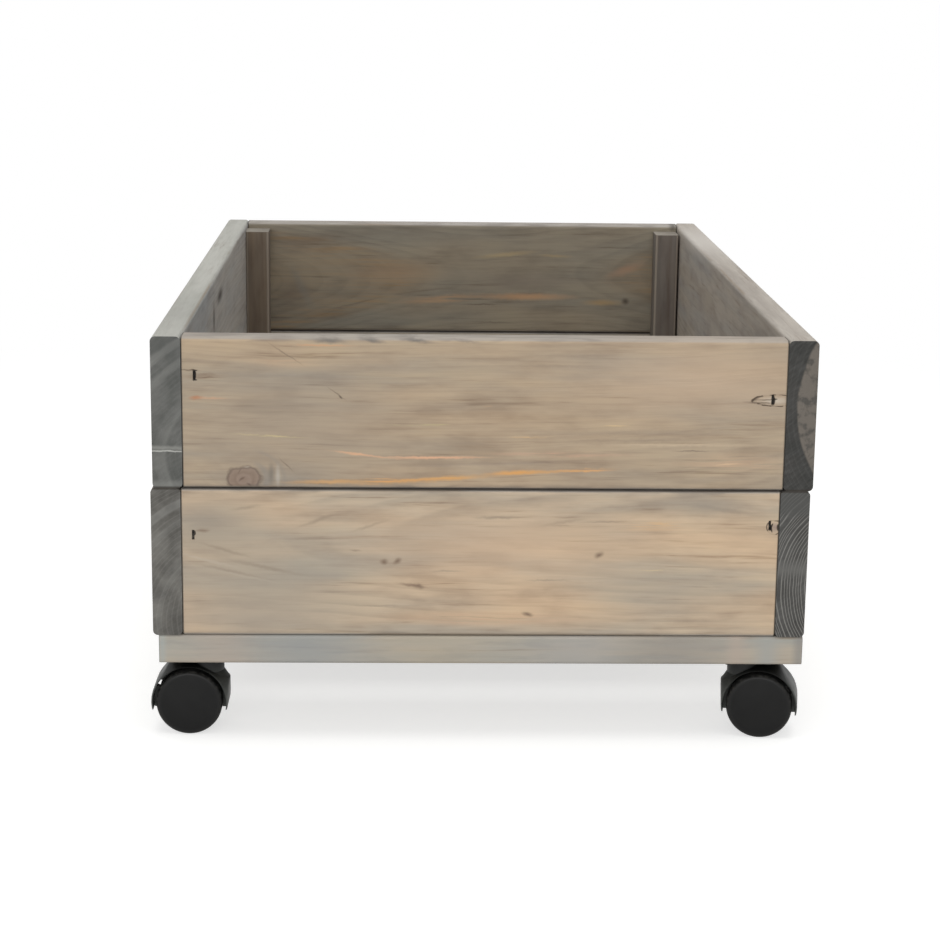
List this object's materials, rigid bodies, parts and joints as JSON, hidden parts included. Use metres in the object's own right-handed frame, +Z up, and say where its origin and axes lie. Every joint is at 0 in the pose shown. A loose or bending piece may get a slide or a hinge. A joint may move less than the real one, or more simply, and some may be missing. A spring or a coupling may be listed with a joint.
{
  "type": "rolling planter",
  "caption": "Open rectangular planter box of stacked, greyed wooden boards with corner battens inside, on a slatted base that rolls on small black swivel castors.",
  "frame": {"origin": "on the floor under the middle of the box", "axes": "+X to the right and +Y to the back along the long side boards, seen from the short end that shows in the picture; +Z up"},
  "size_m": [0.409, 0.6, 0.2535],
  "materials": {
    "end_board_pine": "washed grey-brown stain, brushed along the grain, matt",
    "side_board_pine": "washed grey stain, dark end grain, matt",
    "batten_pine": "planed, dark grey-brown stain, matt",
    "slat_pine": "washed grey stain, matt",
    "staple_wire": "dull dark steel wire",
    "black_steel": "pressed, blackened and lacquered, satin",
    "zinc_plated_steel": "pressed or turned, zinc plated, satin",
    "hood_nylon": "moulded, finely textured black",
    "wheel_nylon": "moulded black, slightly glossier than the hood"
  },
  "bodies": {
    "box": {"lower_left_side_board": "side_board_pine", "lower_right_side_board": "side_board_pine", "lower_front_end_board": "end_board_pine", "lower_back_end_board": "end_board_pine", "upper_left_side_board": "side_board_pine", "upper_right_side_board": "side_board_pine", "upper_front_end_board": "end_board_pine", "upper_back_end_board": "end_board_pine", "front_left_batten": "batten_pine", "front_right_batten": "batten_pine", "back_left_batten": "batten_pine", "back_right_batten": "batten_pine", "base_slat_1": "slat_pine", "base_slat_2": "slat_pine", "base_slat_3": "slat_pine", "base_slat_4": "slat_pine", "base_slat_5": "slat_pine", "base_slat_6": "slat_pine", "end_board_staples": "staple_wire", "side_board_staples": "staple_wire", "slat_staples": "staple_wire", "castor_screws": "black_steel", "front_left_castor_plate": "black_steel", "front_left_kingpin": "zinc_plated_steel", "front_left_snap_ring": "zinc_plated_steel", "front_right_castor_plate": "black_steel", "front_right_kingpin": "zinc_plated_steel", "front_right_snap_ring": "zinc_plated_steel", "back_left_castor_plate": "black_steel", "back_left_kingpin": "zinc_plated_steel", "back_left_snap_ring": "zinc_plated_steel", "back_right_castor_plate": "black_steel", "back_right_kingpin": "zinc_plated_steel", "back_right_snap_ring": "zinc_plated_steel"},
    "front_left_swivel": {"front_left_castor_hood": "hood_nylon", "front_left_axle_pin": "zinc_plated_steel"},
    "front_left_wheel_outer": {"front_left_outer_wheel": "wheel_nylon"},
    "front_left_wheel_inner": {"front_left_inner_wheel": "wheel_nylon"},
    "front_right_swivel": {"front_right_castor_hood": "hood_nylon", "front_right_axle_pin": "zinc_plated_steel"},
    "front_right_wheel_outer": {"front_right_outer_wheel": "wheel_nylon"},
    "front_right_wheel_inner": {"front_right_inner_wheel": "wheel_nylon"},
    "back_left_swivel": {"back_left_castor_hood": "hood_nylon", "back_left_axle_pin": "zinc_plated_steel"},
    "back_left_wheel_outer": {"back_left_outer_wheel": "wheel_nylon"},
    "back_left_wheel_inner": {"back_left_inner_wheel": "wheel_nylon"},
    "back_right_swivel": {"back_right_castor_hood": "hood_nylon", "back_right_axle_pin": "zinc_plated_steel"},
    "back_right_wheel_outer": {"back_right_outer_wheel": "wheel_nylon"},
    "back_right_wheel_inner": {"back_right_inner_wheel": "wheel_nylon"}
  },
  "joints": [
    {"name": "front_left_swivel_turn", "type": "hinge", "parent": "box", "child": "front_left_swivel", "pos_m": [-0.1707, -0.2725, 0.04], "axis": [0, 0, 1], "continuous": true},
    {"name": "front_left_outer_wheel_turn", "type": "hinge", "parent": "front_left_swivel", "child": "front_left_wheel_outer", "pos_m": [-0.1807, -0.2725, 0.0205], "axis": [0, 1, 0], "continuous": true},
    {"name": "front_left_inner_wheel_turn", "type": "hinge", "parent": "front_left_swivel", "child": "front_left_wheel_inner", "pos_m": [-0.1807, -0.2725, 0.0205], "axis": [0, 1, 0], "continuous": true},
    {"name": "front_right_swivel_turn", "type": "hinge", "parent": "box", "child": "front_right_swivel", "pos_m": [0.1673, -0.2755, 0.04], "axis": [0, 0, 1], "continuous": true},
    {"name": "front_right_outer_wheel_turn", "type": "hinge", "parent": "front_right_swivel", "child": "front_right_wheel_outer", "pos_m": [0.17715, -0.27724, 0.0205], "axis": [0.1736, 0.9848, 0], "continuous": true},
    {"name": "front_right_inner_wheel_turn", "type": "hinge", "parent": "front_right_swivel", "child": "front_right_wheel_inner", "pos_m": [0.17715, -0.27724, 0.0205], "axis": [0.1736, 0.9848, 0], "continuous": true},
    {"name": "back_left_swivel_turn", "type": "hinge", "parent": "box", "child": "back_left_swivel", "pos_m": [-0.1673, 0.2755, 0.04], "axis": [0, 0, 1], "continuous": true},
    {"name": "back_left_outer_wheel_turn", "type": "hinge", "parent": "back_left_swivel", "child": "back_left_wheel_outer", "pos_m": [-0.1773, 0.2755, 0.0205], "axis": [0, 1, 0], "continuous": true},
    {"name": "back_left_inner_wheel_turn", "type": "hinge", "parent": "back_left_swivel", "child": "back_left_wheel_inner", "pos_m": [-0.1773, 0.2755, 0.0205], "axis": [0, 1, 0], "continuous": true},
    {"name": "back_right_swivel_turn", "type": "hinge", "parent": "box", "child": "back_right_swivel", "pos_m": [0.1707, 0.2725, 0.04], "axis": [0, 0, 1], "continuous": true},
    {"name": "back_right_outer_wheel_turn", "type": "hinge", "parent": "back_right_swivel", "child": "back_right_wheel_outer", "pos_m": [0.1807, 0.2725, 0.0205], "axis": [0, 1, 0], "continuous": true},
    {"name": "back_right_inner_wheel_turn", "type": "hinge", "parent": "back_right_swivel", "child": "back_right_wheel_inner", "pos_m": [0.1807, 0.2725, 0.0205], "axis": [0, 1, 0], "continuous": true}
  ]
}
